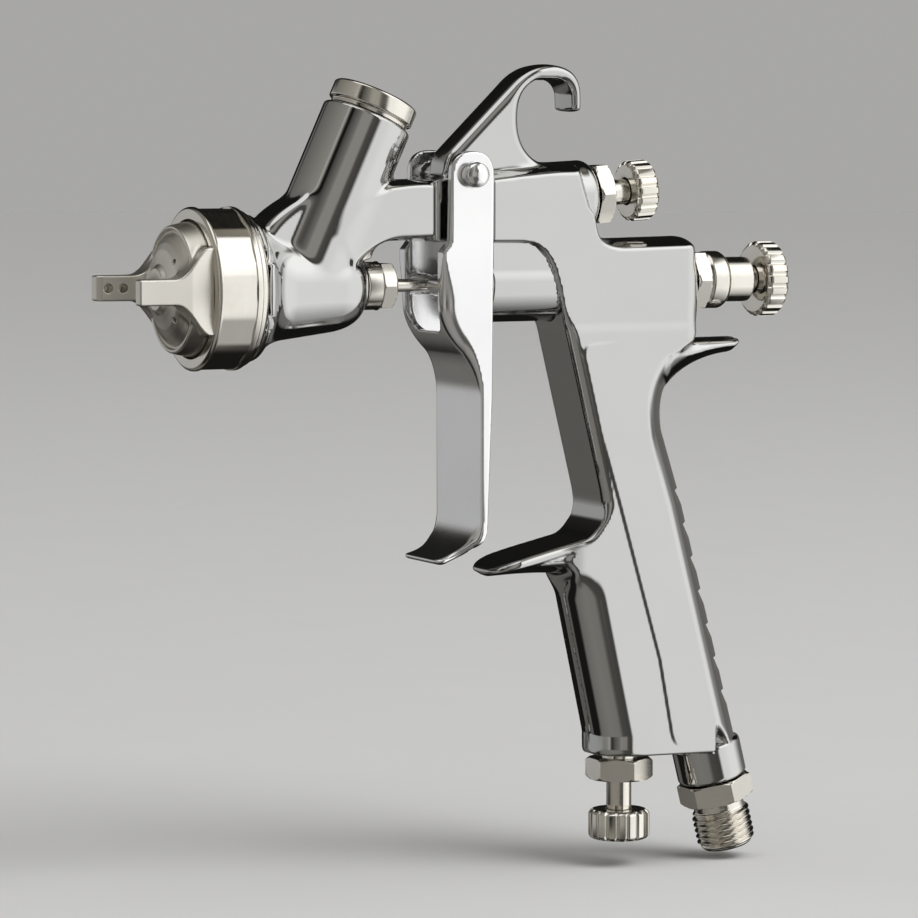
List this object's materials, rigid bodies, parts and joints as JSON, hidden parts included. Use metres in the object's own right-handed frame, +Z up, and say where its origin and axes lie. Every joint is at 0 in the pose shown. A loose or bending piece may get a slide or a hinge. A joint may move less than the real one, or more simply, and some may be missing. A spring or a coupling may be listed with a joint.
{
  "type": "gravity-feed HVLP spray gun",
  "caption": "Gravity-feed HVLP spray gun with a leaning cup inlet, horned air cap, hanging trigger, hook, ribbed grip and knurled control knobs.",
  "frame": {"origin": "hanging point at the top of the inside of the hook, in the gun's mid-plane", "axes": "+Z up, the nozzle points to -X, +Y is the gun's right-hand side"},
  "size_m": [0.158, 0.035, 0.1776],
  "materials": {
    "chrome_body": "bright nickel-chrome plating over a polished casting",
    "stainless": "turned and nickel plated, fine machining marks",
    "trigger_steel": "pressed and polished steel sheet",
    "spring_steel": "drawn wire",
    "brass_part": "turned brass",
    "ptfe": "white PTFE"
  },
  "bodies": {
    "gun": {"gun_body": "chrome_body", "fluid_nozzle": "stainless", "air_baffle": "brass_part", "cap_seal": "ptfe", "needle_packing": "ptfe", "packing_nut": "stainless", "cup_joint": "stainless", "trigger_pin": "stainless", "trigger_screw": "stainless", "air_valve_seat": "brass_part", "air_valve_seal": "ptfe", "air_valve_spring": "spring_steel", "spring_plate": "brass_part", "needle_spring": "spring_steel", "fluid_guide": "stainless", "pattern_nut": "stainless", "air_adjust_nut": "stainless", "air_nipple": "stainless"},
    "cap_ring": {"air_cap_ring": "stainless"},
    "cap": {"air_cap": "stainless"},
    "trigger_body": {"trigger": "trigger_steel"},
    "air_valve": {"air_valve_stem": "stainless"},
    "needle": {"fluid_needle": "stainless", "needle_chuck": "brass_part"},
    "fluid_screw_body": {"fluid_screw": "stainless"},
    "fluid_knob_body": {"fluid_knob": "stainless"},
    "pattern_screw_body": {"pattern_stem": "stainless"},
    "pattern_knob_body": {"pattern_knob": "stainless"},
    "air_screw_body": {"air_adjust_stem": "stainless"},
    "air_knob_body": {"air_adjust_knob": "stainless"}
  },
  "joints": [
    {"name": "trigger_pull", "type": "hinge", "parent": "gun", "child": "trigger_body", "pos_m": [-0.0214, 0, -0.0204], "axis": [0, -1, 0], "range_deg": [0, 12], "stiffness_Nm_per_rad": 1.5, "springref_deg": -17.19},
    {"name": "air_valve_travel", "type": "slide", "parent": "gun", "child": "air_valve", "axis": [1, 0, 0], "range_m": [0, 0.0052], "deforming": ["air_valve_spring"]},
    {"name": "needle_travel", "type": "slide", "parent": "gun", "child": "needle", "axis": [1, 0, 0], "range_m": [0, 0.0039], "deforming": ["needle_spring"]},
    {"name": "cap_ring_spin", "type": "hinge", "parent": "gun", "child": "cap_ring", "pos_m": [-0.0764, 0, -0.0444], "axis": [1, 0, 0], "continuous": true},
    {"name": "air_cap_turn", "type": "hinge", "parent": "gun", "child": "cap", "pos_m": [-0.0834, 0, -0.0444], "axis": [1, 0, 0], "range_deg": [-90, 90]},
    {"name": "fluid_knob_advance", "type": "slide", "parent": "gun", "child": "fluid_screw_body", "axis": [1, 0, 0], "range_m": [-0.00105, 0.00205]},
    {"name": "fluid_knob_turn", "type": "hinge", "parent": "fluid_screw_body", "child": "fluid_knob_body", "pos_m": [0.0536, 0, -0.0444], "axis": [1, 0, 0], "range_deg": [-360, 720]},
    {"name": "pattern_knob_advance", "type": "slide", "parent": "gun", "child": "pattern_screw_body", "axis": [0.9976, 0, 0.0698], "range_m": [-0.00105, 0.00205]},
    {"name": "pattern_knob_turn", "type": "hinge", "parent": "pattern_screw_body", "child": "pattern_knob_body", "pos_m": [0.0116, 0, -0.0252], "axis": [0.9976, 0, 0.0698], "range_deg": [-360, 720]},
    {"name": "air_adjust_knob_advance", "type": "slide", "parent": "gun", "child": "air_screw_body", "axis": [0, 0, -1], "range_m": [-0.00105, 0.00205]},
    {"name": "air_adjust_knob_turn", "type": "hinge", "parent": "air_screw_body", "child": "air_knob_body", "pos_m": [0.0202, 0, -0.1624], "axis": [0, 0, -1], "range_deg": [-360, 720]}
  ],
  "couplings": [
    {"joint": "air_valve_travel", "follows": "trigger_pull", "m_per_rad": 0.0243},
    {"joint": "needle_travel", "follows": "trigger_pull", "m_per_rad": 0.0178},
    {"joint": "fluid_knob_advance", "follows": "fluid_knob_turn", "m_per_rad": 0.00015915},
    {"joint": "pattern_knob_advance", "follows": "pattern_knob_turn", "m_per_rad": 0.00015915},
    {"joint": "air_adjust_knob_advance", "follows": "air_adjust_knob_turn", "m_per_rad": 0.00015915}
  ]
}
